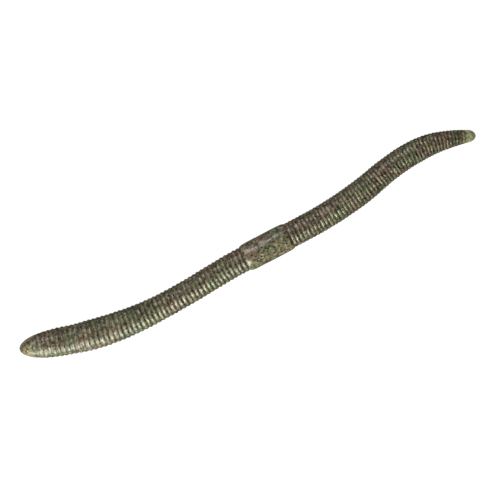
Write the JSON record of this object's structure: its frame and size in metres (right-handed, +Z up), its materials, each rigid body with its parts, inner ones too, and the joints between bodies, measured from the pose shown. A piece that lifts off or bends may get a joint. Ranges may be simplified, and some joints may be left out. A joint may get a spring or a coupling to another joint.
{
  "type": "soft plastic worm",
  "caption": "Soft ringed fishing worm with a blunt nose, a smooth egg-sack band at mid length and a straight tapered tail, that bends and twists along its body.",
  "frame": {"origin": "on the surface that the worm lies on, under the middle of its outline", "axes": "+X from the nose towards the tail, +Z up from the surface"},
  "size_m": [0.163, 0.0158, 0.0102],
  "materials": {
    "soft_plastic": "glossy translucent olive-brown soft plastic with dark flecks"
  },
  "bodies": {
    "band": {"band": "soft_plastic"},
    "front_segment_1": {"front_segment_1": "soft_plastic"},
    "front_segment_2": {"front_segment_2": "soft_plastic"},
    "front_segment_3": {"front_segment_3": "soft_plastic"},
    "front_segment_4": {"front_segment_4": "soft_plastic"},
    "front_segment_5": {"front_segment_5": "soft_plastic"},
    "front_segment_6": {"front_segment_6": "soft_plastic"},
    "front_segment_7": {"front_segment_7": "soft_plastic"},
    "nose": {"nose": "soft_plastic"},
    "rear_segment_1": {"rear_segment_1": "soft_plastic"},
    "rear_segment_2": {"rear_segment_2": "soft_plastic"},
    "rear_segment_3": {"rear_segment_3": "soft_plastic"},
    "rear_segment_4": {"rear_segment_4": "soft_plastic"},
    "rear_segment_5": {"rear_segment_5": "soft_plastic"},
    "rear_segment_6": {"rear_segment_6": "soft_plastic"},
    "rear_segment_7": {"rear_segment_7": "soft_plastic"},
    "tail_tip": {"tail_tip": "soft_plastic"}
  },
  "joints": [
    {"name": "front_sway_1", "type": "hinge", "parent": "band", "child": "front_segment_1", "pos_m": [-0.00578, -0.00262, 0.0048], "axis": [0, 0, 1], "range_deg": [-26, 26], "stiffness_Nm_per_rad": 0.00259},
    {"name": "front_lift_2", "type": "hinge", "parent": "front_segment_1", "child": "front_segment_2", "pos_m": [-0.01477, -0.00295, 0.00435], "axis": [-0.0544, 0.9985, 0], "range_deg": [-26, 26], "stiffness_Nm_per_rad": 0.00259},
    {"name": "front_sway_3", "type": "hinge", "parent": "front_segment_2", "child": "front_segment_3", "pos_m": [-0.02386, -0.00345, 0.00435], "axis": [0, 0, 1], "range_deg": [-26, 26], "stiffness_Nm_per_rad": 0.00259},
    {"name": "front_twist_4", "type": "hinge", "parent": "front_segment_3", "child": "front_segment_4", "pos_m": [-0.03305, -0.00361, 0.00439], "axis": [-0.999, 0.0291, 0.0336], "range_deg": [-45, 45], "stiffness_Nm_per_rad": 0.000414},
    {"name": "front_sway_5", "type": "hinge", "parent": "front_segment_4", "child": "front_segment_5", "pos_m": [-0.04233, -0.00334, 0.0047], "axis": [0, 0, 1], "range_deg": [-26, 26], "stiffness_Nm_per_rad": 0.00359},
    {"name": "front_lift_6", "type": "hinge", "parent": "front_segment_5", "child": "front_segment_6", "pos_m": [-0.05164, -0.00228, 0.00508], "axis": [0.1975, 0.9803, 0], "range_deg": [-26, 26], "stiffness_Nm_per_rad": 0.00497},
    {"name": "front_sway_7", "type": "hinge", "parent": "front_segment_6", "child": "front_segment_7", "pos_m": [-0.06092, -0.00041, 0.00518], "axis": [0, 0, 1], "range_deg": [-26, 26], "stiffness_Nm_per_rad": 0.0054},
    {"name": "front_lift_8", "type": "hinge", "parent": "front_segment_7", "child": "nose", "pos_m": [-0.07009, 0.00227, 0.00488], "axis": [0.3022, 0.9532, 0], "range_deg": [-26, 26], "stiffness_Nm_per_rad": 0.0042},
    {"name": "rear_sway_1", "type": "hinge", "parent": "band", "child": "rear_segment_1", "pos_m": [0.01491, -0.00288, 0.0048], "axis": [0, 0, 1], "range_deg": [-26, 26], "stiffness_Nm_per_rad": 0.00285},
    {"name": "rear_lift_2", "type": "hinge", "parent": "rear_segment_1", "child": "rear_segment_2", "pos_m": [0.02404, -0.00282, 0.00445], "axis": [0.0729, -0.9973, 0], "range_deg": [-26, 26], "stiffness_Nm_per_rad": 0.00285},
    {"name": "rear_sway_3", "type": "hinge", "parent": "rear_segment_2", "child": "rear_segment_3", "pos_m": [0.033, -0.00217, 0.00445], "axis": [0, 0, 1], "range_deg": [-26, 26], "stiffness_Nm_per_rad": 0.00285},
    {"name": "rear_twist_4", "type": "hinge", "parent": "rear_segment_3", "child": "rear_segment_4", "pos_m": [0.04173, -0.00095, 0.00442], "axis": [0.9781, 0.2073, -0.0182], "range_deg": [-45, 45], "stiffness_Nm_per_rad": 0.000425},
    {"name": "rear_sway_5", "type": "hinge", "parent": "rear_segment_4", "child": "rear_segment_5", "pos_m": [0.0502, 0.00085, 0.00426], "axis": [0, 0, 1], "range_deg": [-26, 26], "stiffness_Nm_per_rad": 0.00238},
    {"name": "rear_lift_6", "type": "hinge", "parent": "rear_segment_5", "child": "rear_segment_6", "pos_m": [0.05864, 0.00183, 0.00421], "axis": [-0.033, -0.9995, 0], "range_deg": [-26, 26], "stiffness_Nm_per_rad": 0.00227},
    {"name": "rear_sway_7", "type": "hinge", "parent": "rear_segment_6", "child": "rear_segment_7", "pos_m": [0.06696, 0.00156, 0.00379], "axis": [0, 0, 1], "range_deg": [-26, 26], "stiffness_Nm_per_rad": 0.00145},
    {"name": "rear_lift_8", "type": "hinge", "parent": "rear_segment_7", "child": "tail_tip", "pos_m": [0.07487, -0.00028, 0.0029], "axis": [-0.3401, -0.9404, 0], "range_deg": [-26, 26], "stiffness_Nm_per_rad": 0.000469}
  ]
}
